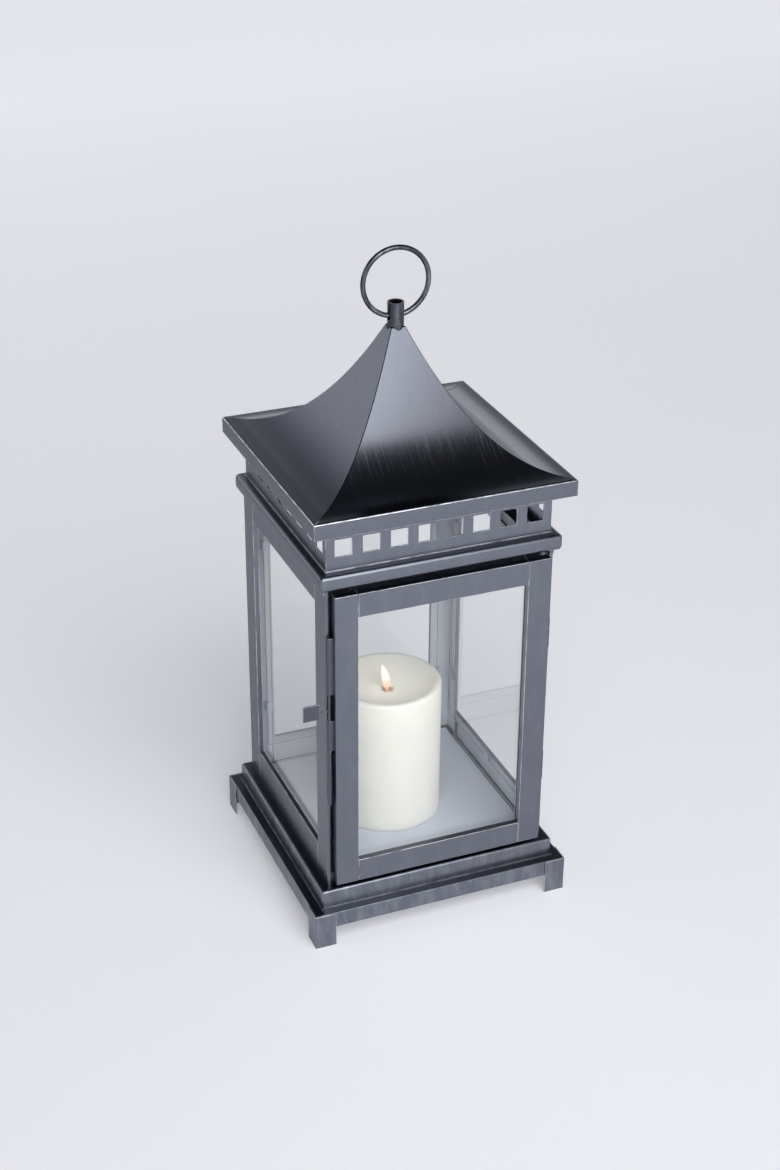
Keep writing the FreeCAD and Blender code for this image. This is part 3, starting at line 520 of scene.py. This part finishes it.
def roof_tree():
    """One roof panel: a section that follows the eave's fold and the sweep, mitred at both ends.

    The section's points go up the outer face and back down the inner one.
    """
    half_points, fold_steps = 64, 8
    last = half_points - 1
    fascia_end = 1 / last
    fold_end = (1 + fold_steps) / last
    tree, given = tree_with("Pagoda panel", [
        ("Eave Half", NUMBER), ("Apex Half", NUMBER), ("Mouth", NUMBER), ("Eave Bottom", NUMBER),
        ("Fascia", NUMBER), ("Rise", NUMBER), ("Power", NUMBER), ("Fold", NUMBER), ("Sheet", NUMBER),
        ("Turn", NUMBER), ("Material", COATING)])
    size = given.outputs
    index = add(tree, "GeometryNodeInputIndex")
    inner = add(tree, MATH, [index, half_points - 0.5], operation="GREATER_THAN")
    back = add(tree, MATH, [2 * half_points - 1, index], operation="SUBTRACT")
    step = add(tree, MATH, [index, back], operation="MINIMUM")
    along = add(tree, MATH, [step, last], operation="DIVIDE")
    up = add(tree, "ShaderNodeMapRange", {"Value": along, "From Min": 0.0, "From Max": fascia_end})
    bend = add(tree, "ShaderNodeMapRange", {"Value": along, "From Min": fascia_end, "From Max": fold_end,
                                            "To Max": QUARTER})
    sweep = add(tree, "ShaderNodeMapRange", {"Value": along, "From Min": fold_end, "From Max": 1.0})

    fold_centre = add(tree, MATH, [size["Eave Half"], size["Fold"]], operation="SUBTRACT")
    run = add(tree, MATH, [fold_centre, size["Apex Half"]], operation="SUBTRACT")
    swept = add(tree, MATH, [run, sweep], operation="MULTIPLY")
    bend_out = add(tree, MATH, [bend], operation="COSINE")
    folded = add(tree, MATH, [bend_out, size["Fold"], fold_centre], operation="MULTIPLY_ADD")
    reach = add(tree, MATH, [folded, swept], operation="SUBTRACT")

    straight = add(tree, MATH, [size["Fascia"], size["Fold"]], operation="SUBTRACT")
    fascia_level = add(tree, MATH, [straight, up, size["Eave Bottom"]], operation="MULTIPLY_ADD")
    bend_up = add(tree, MATH, [bend], operation="SINE")
    fold_level = add(tree, MATH, [bend_up, size["Fold"], fascia_level], operation="MULTIPLY_ADD")
    share = add(tree, MATH, [sweep, size["Power"]], operation="POWER")
    level = add(tree, MATH, [share, size["Rise"], fold_level], operation="MULTIPLY_ADD")

    less = add(tree, MATH, [size["Power"], 1.0], operation="SUBTRACT")
    growth = add(tree, MATH, [sweep, less], operation="POWER")
    full_rise = add(tree, MATH, [size["Power"], size["Rise"]], operation="MULTIPLY")
    steepest = add(tree, MATH, [full_rise, run], operation="DIVIDE")
    slope = add(tree, MATH, [steepest, growth], operation="MULTIPLY")
    lean = add(tree, MATH, [slope], operation="ARCTANGENT")
    facing = add(tree, MATH, [bend, lean], operation="SUBTRACT")
    facing_out = add(tree, MATH, [facing], operation="COSINE")
    facing_up = add(tree, MATH, [facing], operation="SINE")
    depth = add(tree, MATH, [size["Sheet"], inner], operation="MULTIPLY")
    inset = add(tree, MATH, [depth, facing_out], operation="MULTIPLY")
    drop = add(tree, MATH, [depth, facing_up], operation="MULTIPLY")
    forward = add(tree, MATH, [inset, reach], operation="SUBTRACT")
    height = add(tree, MATH, [level, drop], operation="SUBTRACT")
    section_at = add(tree, XYZ, {"X": -0.5, "Y": forward, "Z": height})

    polygon = add(tree, "GeometryNodeMeshCircle", {"Vertices": 2 * half_points}, fill_type="NGON")
    section = add(tree, "GeometryNodeSetPosition", {"Geometry": polygon, "Position": section_at})
    sideways = add(tree, XYZ, {"X": 1.0})
    prism = add(tree, "GeometryNodeExtrudeMesh", {"Mesh": section, "Offset": sideways, "Offset Scale": 1.0,
                                                  "Individual": False}, mode="FACES")
    cap = add(tree, "GeometryNodeFlipFaces", {"Mesh": section})
    solid = add(tree, "GeometryNodeJoinGeometry", {"Geometry": [prism, cap]})
    closed = add(tree, "GeometryNodeMergeByDistance", {"Geometry": solid, "Distance": 1e-7})
    point = add(tree, "GeometryNodeInputPosition")
    place = add(tree, "ShaderNodeSeparateXYZ", {"Vector": point})
    both_sides = add(tree, MATH, [place.outputs["X"], -2.0], operation="MULTIPLY")
    width = add(tree, MATH, [both_sides, place.outputs["Y"]], operation="MULTIPLY")
    mitre = add(tree, XYZ, [width, place.outputs["Y"], place.outputs["Z"]])
    panel = add(tree, "GeometryNodeSetPosition", {"Geometry": closed, "Position": mitre})

    tall = add(tree, MATH, [size["Eave Bottom"], size["Rise"]], operation="ADD")
    top = add(tree, XYZ, {"Z": tall})
    pipe = add(tree, "GeometryNodeMeshCylinder", {"Vertices": 64, "Radius": size["Mouth"],
                                                  "Depth": size["Rise"]})
    standing = add(tree, "GeometryNodeTransform", {"Geometry": pipe, "Translation": top})
    pierced = add(tree, "GeometryNodeMeshBoolean", {"Mesh 1": panel, "Mesh 2": standing},
                  operation="DIFFERENCE", solver="EXACT")
    end_of_piece(tree, pierced, size)
    return tree


def vent_tree():
    """A strip of sheet with a row of square holes and a hem, made flat, stood up and turned."""
    tree, given = tree_with("Perforated strip", [
        ("Width", NUMBER), ("Height", NUMBER), ("Reach", NUMBER), ("Bottom", NUMBER), ("Holes", COUNT),
        ("Hole", NUMBER), ("Row Width", NUMBER), ("Sill", NUMBER), ("Sheet", NUMBER), ("Hem", NUMBER),
        ("Hem Width", NUMBER), ("Turn", NUMBER), ("Material", COATING)])
    size = given.outputs
    edge = add(tree, "GeometryNodeCurvePrimitiveQuadrilateral", {"Width": size["Width"],
                                                                 "Height": size["Height"]})
    hole = add(tree, "GeometryNodeCurvePrimitiveQuadrilateral", {"Width": size["Hole"],
                                                                 "Height": size["Hole"]})
    centres = add(tree, MATH, [size["Row Width"], size["Hole"]], operation="SUBTRACT")
    row_end = add(tree, MATH, [centres, 0.5], operation="MULTIPLY")
    row_start = add(tree, MATH, [centres, -0.5], operation="MULTIPLY")
    foot = add(tree, MATH, [size["Height"], -0.5], operation="MULTIPLY")
    sill = add(tree, MATH, [foot, size["Sill"]], operation="ADD")
    middle = add(tree, MATH, [size["Hole"], 0.5, sill], operation="MULTIPLY_ADD")
    first = add(tree, XYZ, {"X": row_start, "Y": middle})
    final = add(tree, XYZ, {"X": row_end, "Y": middle})
    row = add(tree, "GeometryNodeMeshLine", {"Count": size["Holes"], "Start Location": first,
                                             "Offset": final}, mode="END_POINTS")
    holes = add(tree, "GeometryNodeInstanceOnPoints", {"Points": row, "Instance": hole})
    outline = add(tree, "GeometryNodeJoinGeometry", {"Geometry": [edge, holes]})
    flat = add(tree, "GeometryNodeRealizeInstances", {"Geometry": outline})
    face = add(tree, "GeometryNodeFillCurve", {"Curve": flat})
    thick = add(tree, XYZ, {"Z": size["Sheet"]})
    slab = add(tree, "GeometryNodeExtrudeMesh", {"Mesh": face, "Offset": thick, "Offset Scale": 1.0,
                                                 "Individual": False}, mode="FACES")
    cap = add(tree, "GeometryNodeFlipFaces", {"Mesh": face})
    solid = add(tree, "GeometryNodeJoinGeometry", {"Geometry": [slab, cap]})
    closed = add(tree, "GeometryNodeMergeByDistance", {"Geometry": solid, "Distance": 1e-7})

    hem_depth = add(tree, MATH, [size["Sheet"], 0.5, size["Hem"]], operation="MULTIPLY_ADD")
    hem_size = add(tree, XYZ, [size["Hem Width"], size["Hem"], hem_depth])
    bar = add(tree, "GeometryNodeMeshCube", {"Size": hem_size})
    hem_level = add(tree, MATH, [size["Hem"], 0.5, foot], operation="MULTIPLY_ADD")
    half_sheet = add(tree, MATH, [size["Sheet"], 0.5], operation="MULTIPLY")
    hem_out = add(tree, MATH, [hem_depth, 0.5, half_sheet], operation="MULTIPLY_ADD")
    hem_at = add(tree, XYZ, {"Y": hem_level, "Z": hem_out})
    laid = add(tree, "GeometryNodeTransform", {"Geometry": bar, "Translation": hem_at})
    hemmed = add(tree, "GeometryNodeMeshBoolean", {"Mesh 2": [closed, laid]},
                 operation="UNION", solver="EXACT")

    inside = add(tree, MATH, [size["Sheet"], size["Reach"]], operation="SUBTRACT")
    lift = add(tree, MATH, [size["Height"], 0.5, size["Bottom"]], operation="MULTIPLY_ADD")
    there = add(tree, XYZ, {"Y": inside, "Z": lift})
    upright = add(tree, "GeometryNodeTransform", {"Geometry": hemmed, "Rotation": (QUARTER, 0.0, 0.0),
                                                  "Translation": there})
    end_of_piece(tree, upright, size)
    return tree


def ring_tree():
    """A wire bent into a circle, standing across the finial."""
    tree, given = tree_with("Wire ring", [("Radius", NUMBER), ("Wire", NUMBER), ("Centre", NUMBER),
                                          ("Turn", NUMBER), ("Material", COATING)])
    size = given.outputs
    path = add(tree, "GeometryNodeCurvePrimitiveCircle", {"Resolution": 144, "Radius": size["Radius"]})
    wire = add(tree, "GeometryNodeCurvePrimitiveCircle", {"Resolution": 24, "Radius": size["Wire"]})
    tube = add(tree, "GeometryNodeCurveToMesh", {"Curve": path, "Profile Curve": wire})
    there = add(tree, XYZ, {"Z": size["Centre"]})
    stood = add(tree, "GeometryNodeTransform", {"Geometry": tube, "Rotation": (QUARTER, 0.0, 0.0),
                                                "Translation": there})
    smooth = add(tree, "GeometryNodeSetShadeSmooth", {"Geometry": stood})
    end_of_piece(tree, smooth, size)
    return tree


def flame_loft(low, high):
    """A leaning teardrop of crowned plastic on a flat stem, in slices from the magnet to the tip."""
    candle = bpy.context.scene.lantern_candle
    corners, slices, stem_slices = 28, 26, 4
    last_share, bluntness, lean_power = 0.985, 0.8, 1.6
    stem_thickness = high.y - low.y
    base = high.z - candle.flame_height
    belly = candle.flame_belly / candle.flame_height
    magnet_low, magnet_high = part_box("flame_magnet")
    middle = (magnet_low + magnet_high) / 2
    loft = bmesh.new()
    rings = []
    for i in range(stem_slices + slices):
        share = max(0.0, (i - stem_slices + 1) / slices) * last_share
        stem = min(1.0, i / (stem_slices - 1))
        level = low.z + (base - low.z) * stem + candle.flame_height * share
        rise = math.sin(min(share / belly, 1.0) * QUARTER)
        fall = math.cos(max(0.0, (share - belly) / (1 - belly)) * QUARTER) ** bluntness
        half = (candle.flame_stem + (candle.flame_width - candle.flame_stem) * rise) * fall / 2
        crown = (stem_thickness + (candle.flame_crown - stem_thickness) * rise) * fall / 2
        lean = candle.flame_lean * share ** lean_power
        ring = []
        for k in range(corners):
            turn = 2 * math.pi * k / corners
            ring.append(loft.verts.new((middle.x - lean + half * math.cos(turn),
                                        middle.y + crown * math.sin(turn), level)))
        rings.append(ring)
    tip = loft.verts.new((middle.x - candle.flame_lean, middle.y, high.z))
    for below, above in zip(rings, rings[1:]):
        for k in range(corners):
            after = (k + 1) % corners
            loft.faces.new((below[k], below[after], above[after], above[k]))
    for k in range(corners):
        loft.faces.new((rings[-1][k], rings[-1][(k + 1) % corners], tip))
    loft.faces.new(list(reversed(rings[0])))
    mesh = bpy.data.meshes.new("flame_paddle_finished")
    loft.to_mesh(mesh)
    loft.free()
    mesh.shade_smooth()
    return mesh


def nodes_like(*starts):
    """The nodes whose names start with one of these."""
    return [node for node in NODES if node.startswith(starts)]


class LANTERN_OT_case(Operator):
    """Finish the base, posts, rails, pane clips, cornice and floor plate"""
    bl_idname = "lantern.case"
    bl_label = "Case"

    def execute(self, context):
        finish = context.scene.lantern_metal
        rubbed = gunmetal("rubbed_gunmetal")
        plain = shared(gunmetal, "brushed_gunmetal")
        for node in nodes_like("base_tray", "plinth_tray", "foot_"):
            finish_sheet(node, rubbed)
        # The inner faces of rails and posts, and the pane clips, get pale satin grey as painted light inside
        # the case.
        lit_inner_rail = satin_grey("painted_light_rail_lining", finish.lit_inner_rail)
        lit_inner_post = satin_grey("painted_light_post_lining", finish.lit_inner_post)
        for node in nodes_like("bottom_rail_"):
            finish_sheet(node, plain, painted_light_lining=lit_inner_rail)
        finish_sheet("pane_clips", lit_inner_rail, width=CLIP_EDGE)
        for node in nodes_like("post_", "top_rail_", "front_"):
            finish_sheet(node, plain, painted_light_lining=lit_inner_post)
        finish_sheet("cornice", plain)
        finish_sheet("floor_plate", satin_grey("satin_floor_paint", finish.plate))
        return {"FINISHED"}


class LANTERN_OT_roof(Operator):
    """Grow the four roof panels"""
    bl_idname = "lantern.roof"
    bl_label = "Roof"

    def execute(self, context):
        shape = context.scene.lantern_roof
        ridge_width = 0.45 * MM
        fold_from, fold_to = 0.3, 0.85
        finish = gunmetal("roof_gunmetal")
        seam = gunmetal("dark_ridge_seam")
        low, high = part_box("roof_panel_front")
        eave = low.z + shape.fascia
        values = {
            "Eave Half": -low.y, "Apex Half": shape.apex, "Mouth": shape.mouth, "Eave Bottom": low.z,
            "Fascia": shape.fascia, "Rise": high.z - low.z - shape.fascia, "Power": shape.power,
            "Fold": shape.fold, "Sheet": shape.sheet}
        tree = roof_tree()
        for quarter, side in enumerate(SIDES):
            node = "roof_panel_" + side
            values["Turn"] = quarter * QUARTER
            panel = grown(node, tree, values, finish)
            softened(panel, ridge_width, finish, seam, clamp=False)
            panel.data.materials.append(shared(worn_edge))
            worn = len(panel.data.materials) - 1
            for polygon in panel.data.polygons:
                at_eave = polygon.center.z < eave
                folded = polygon.material_index == FACE and fold_from < polygon.normal.z < fold_to
                if at_eave and (folded or polygon.material_index == EDGE):
                    polygon.material_index = worn
            hold(panel, node)
        return {"FINISHED"}


class LANTERN_OT_vents(Operator):
    """Grow the perforated vent strips"""
    bl_idname = "lantern.vents"
    bl_label = "Vents"

    def execute(self, context):
        vent = context.scene.lantern_vent
        rim_width = 0.25 * MM
        finish = shared(gunmetal, "brushed_gunmetal")
        reach = -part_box("vent_strip_front")[0].y - vent.hem
        tree = vent_tree()
        for quarter, side in enumerate(SIDES):
            node = "vent_strip_" + side
            low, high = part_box(node)
            size = high - low
            length = max(size.x, size.y)
            sheet = min(size.x, size.y) - vent.hem
            overhang = vent.hem if side in ("front", "back") else sheet
            values = {
                "Width": length - 2 * overhang, "Height": size.z, "Reach": reach, "Bottom": low.z,
                "Holes": vent.holes, "Hole": vent.hole, "Row Width": 2 * (reach - vent.margin),
                "Sill": vent.sill, "Sheet": sheet, "Hem": vent.hem, "Hem Width": length,
                "Turn": quarter * QUARTER}
            strip = grown(node, tree, values, finish)
            hold(softened(strip, rim_width, finish, shared(worn_edge)), node)
        return {"FINISHED"}


class LANTERN_OT_finial(Operator):
    """Finish the finial and grow the carrying ring"""
    bl_idname = "lantern.finial"
    bl_label = "Finial and ring"

    def execute(self, context):
        finish = shared(gunmetal, "mottled_gunmetal")
        finish_sheet("finial_tube", finish, width=0.3 * MM)
        low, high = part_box("carry_ring")
        wire = (high.y - low.y) / 2
        values = {"Radius": (high.z - low.z) / 2 - wire, "Wire": wire, "Centre": (low.z + high.z) / 2,
                  "Turn": 0.0}
        hold(grown("carry_ring", ring_tree(), values, finish), "carry_ring")
        return {"FINISHED"}


class LANTERN_OT_door(Operator):
    """Finish the door's frame, hinges, latch and clips"""
    bl_idname = "lantern.door"
    bl_label = "Door"

    def execute(self, context):
        finish = shared(gunmetal, "brushed_gunmetal")
        for node in nodes_like("door_stile_", "door_rail_"):
            finish_sheet(node, finish)
        dark = gunmetal("dark_latch_steel")
        for node in nodes_like("hinge_", "latch_"):
            finish_sheet(node, dark, width=0.2 * MM)
        finish_sheet("door_pane_clips", finish, width=CLIP_EDGE)
        return {"FINISHED"}


class LANTERN_OT_glass(Operator):
    """Finish the panes"""
    bl_idname = "lantern.glass"
    bl_label = "Glass"

    def execute(self, context):
        glass = clear_glass()
        arris = 0.3 * MM
        for node in ("pane_left", "pane_right", "pane_back", "door_pane"):
            pane = hold(softened(placed(merged_copy(node)), arris, glass, glass), node)
            pane.visible_shadow = False
        return {"FINISHED"}


class LANTERN_OT_candle(Operator):
    """Finish the wax and the flame"""
    bl_idname = "lantern.candle"
    bl_label = "Candle"

    def execute(self, context):
        low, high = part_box("candle_wax")
        dish = high.z - context.scene.lantern_candle.dish_depth
        smooth_copy("candle_wax", paraffin_wax((low + high) / 2, dish), angle=30)
        low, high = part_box("flame_paddle")
        flame = flame_loft(low, high)
        flame.materials.append(flame_plastic(high.z - context.scene.lantern_candle.flame_height, high.z))
        hold(placed(flame), "flame_paddle")
        return {"FINISHED"}


class LANTERN_OT_works(Operator):
    """Finish the parts inside the candle"""
    bl_idname = "lantern.works"
    bl_label = "Candle works"

    def execute(self, context):
        cup = moulded_plastic("ivory_moulded_plastic", "#e6e2d6")
        for node in ("candle_housing", "battery_cover", "battery_holder"):
            smooth_copy(node, cup)
        smooth_copy("power_switch", moulded_plastic("black_moulded_plastic", "#2a2a2c"))
        smooth_copy("batteries", moulded_plastic("printed_cell_sleeve", "#4a5058", roughness=0.35))
        smooth_copy("circuit_board", moulded_plastic("green_solder_mask", "#2f6b45", roughness=0.4))
        smooth_copy("drive_coil", moulded_plastic("enamelled_copper_wire", "#b5713f", roughness=0.35))
        smooth_copy("flame_led", moulded_plastic("clear_lamp_epoxy", "#efe0b4", roughness=0.2))
        steel = shared(gunmetal, "mottled_gunmetal")
        smooth_copy("flame_wire", steel)
        smooth_copy("flame_magnet", steel)
        return {"FINISHED"}


def lay_floor(stage):
    """A wide sheet of pale paper that glows more towards the back, as a lit backdrop does.

    The glow is seen directly and through the glass, and only faintly in the metal.
    """
    reach, mirrored_share = 9.0, 0.12
    sheet = bmesh.new()
    bmesh.ops.create_circle(sheet, cap_ends=True, segments=96, radius=reach)
    mesh = bpy.data.meshes.new("paper_floor")
    sheet.to_mesh(mesh)
    sheet.free()
    material, tree = new_material("pale_paper")
    coord = add(tree, "ShaderNodeTexCoord")
    fibre = add(tree, "ShaderNodeTexNoise", {"Vector": coord.outputs["Object"], "Scale": 1 / (300 * MM)})
    shade = add(tree, "ShaderNodeMapRange", {"Value": fibre, "To Min": 0.99, "To Max": 1.01})
    tone = add(tree, "ShaderNodeMix", {"Factor": 1.0, "A": rgba(stage.floor), "B": shade},
               data_type="RGBA", blend_type="MULTIPLY")
    place = add(tree, "ShaderNodeSeparateXYZ", {"Vector": coord.outputs["Object"]})
    glow = add(tree, "ShaderNodeMapRange", {"Value": place.outputs["Y"], "From Min": -1.2, "From Max": 2.4,
                                            "To Min": 0.1, "To Max": 0.72})
    path = add(tree, "ShaderNodeLightPath")
    through = add(tree, MATH, [path.outputs["Is Camera Ray"], path.outputs["Is Transmission Ray"]],
                  operation="MAXIMUM")
    mirrored = add(tree, MATH, [path.outputs["Is Glossy Ray"], mirrored_share], operation="MULTIPLY")
    seen = add(tree, MATH, [through, mirrored], operation="MAXIMUM")
    lit = add(tree, MATH, [seen, glow], operation="MULTIPLY")
    surface(tree, {"Base Color": tone, "Roughness": 0.9, "Specular IOR Level": 0.1, "Emission Color": tone,
                   "Emission Strength": lit})
    mesh.materials.append(material)
    placed(mesh)


def light_world():
    """A pale studio, light round the horizon and darker overhead."""
    world = bpy.data.worlds.new("studio")
    bpy.context.scene.world = world
    world.use_nodes = True
    tree = world.node_tree
    coord = add(tree, "ShaderNodeTexCoord")
    aim = add(tree, "ShaderNodeSeparateXYZ", {"Vector": coord.outputs["Generated"]})
    glow = add(tree, "ShaderNodeValToRGB", {"Fac": aim.outputs["Z"]},
               stops=((0.28, "#f2f3f6"), (0.46, "#9b9ea6"), (0.6, "#2c2e33")))
    tree.links.new(glow.outputs["Color"], tree.nodes["Background"].inputs["Color"])
    tree.nodes["Background"].inputs["Strength"].default_value = 0.85


def soft_lamp(name, place, target, width, height, watts, seen):
    """A large soft lamp aimed at a point; seen says whether polished metal shows it."""
    lamp = bpy.data.lights.new(name, "AREA")
    lamp.shape = "RECTANGLE"
    lamp.size = width
    lamp.size_y = height
    lamp.energy = watts
    holder = bpy.data.objects.new(name, lamp)
    bpy.context.scene.collection.objects.link(holder)
    holder.location = place
    holder.rotation_euler = (Vector(target) - Vector(place)).to_track_quat("-Z", "Y").to_euler()
    holder.visible_glossy = seen
    holder.visible_camera = False


def place_camera(scene, stage):
    """A camera at the viewing angle that shows the door and the left wall from above."""
    camera = bpy.data.cameras.new("camera")
    camera.lens = stage.lens
    camera.sensor_width = 36.0
    holder = bpy.data.objects.new("camera", camera)
    scene.collection.objects.link(holder)
    a, e = stage.azimuth, stage.elevation
    back = Vector((math.sin(a) * math.cos(e), -math.cos(a) * math.cos(e), math.sin(e)))
    right = Vector((math.cos(a), math.sin(a), 0.0))
    up = back.cross(right)
    turned_right = right * math.cos(stage.roll) + up * math.sin(stage.roll)
    turned_up = up * math.cos(stage.roll) - right * math.sin(stage.roll)
    turn = Matrix((turned_right, turned_up, back)).transposed()
    holder.matrix_world = Matrix.Translation(stage.place) @ turn.to_4x4()
    scene.camera = holder


class LANTERN_OT_stage(Operator):
    """Lay the floor, set the lights and place the camera"""
    bl_idname = "lantern.stage"
    bl_label = "Stage"

    def execute(self, context):
        stage = context.scene.lantern_stage
        lay_floor(stage)
        light_world()
        soft_lamp("front_softbox", place=(-0.04, -1.88, 1.55), target=(0, 0, 0.25), width=1.8, height=2.0,
                  watts=31, seen=True)
        soft_lamp("fill_softbox", place=(0.1, -1.7, 2.0), target=(0, 0, 0.1), width=2.6, height=2.0,
                  watts=23, seen=False)
        place_camera(context.scene, stage)
        context.scene.view_settings.view_transform = "Standard"
        return {"FINISHED"}


class LANTERN_PT_panel(Panel):
    """Buttons that dress the lantern"""
    bl_idname = "LANTERN_PT_panel"
    bl_label = "Candle lantern"
    bl_space_type = "VIEW_3D"
    bl_region_type = "UI"
    bl_category = "Lantern"

    def draw(self, context):
        for operator in OPERATORS:
            self.layout.operator(operator.bl_idname)


GROUPS = {
    "lantern_metal": LanternMetal,
    "lantern_roof": LanternRoof,
    "lantern_vent": LanternVent,
    "lantern_candle": LanternCandle,
    "lantern_stage": LanternStage,
}
OPERATORS = (
    LANTERN_OT_case,
    LANTERN_OT_roof,
    LANTERN_OT_vents,
    LANTERN_OT_finial,
    LANTERN_OT_door,
    LANTERN_OT_glass,
    LANTERN_OT_candle,
    LANTERN_OT_works,
    LANTERN_OT_stage,
)


def register():
    """Register the classes and give the scene their settings."""
    for kind in (*GROUPS.values(), *OPERATORS, LANTERN_PT_panel):
        bpy.utils.register_class(kind)
    for name, kind in GROUPS.items():
        setattr(bpy.types.Scene, name, PointerProperty(type=kind))


def unregister():
    """Take the settings and the classes away again."""
    for name in GROUPS:
        delattr(bpy.types.Scene, name)
    for kind in (LANTERN_PT_panel, *reversed(OPERATORS), *GROUPS.values()):
        bpy.utils.unregister_class(kind)


def main():
    """Dress the lantern."""
    register()
    bpy.ops.lantern.case()
    bpy.ops.lantern.roof()
    bpy.ops.lantern.vents()
    bpy.ops.lantern.finial()
    bpy.ops.lantern.door()
    bpy.ops.lantern.glass()
    bpy.ops.lantern.candle()
    bpy.ops.lantern.works()
    bpy.ops.lantern.stage()


if __name__ == "__main__":
    main()
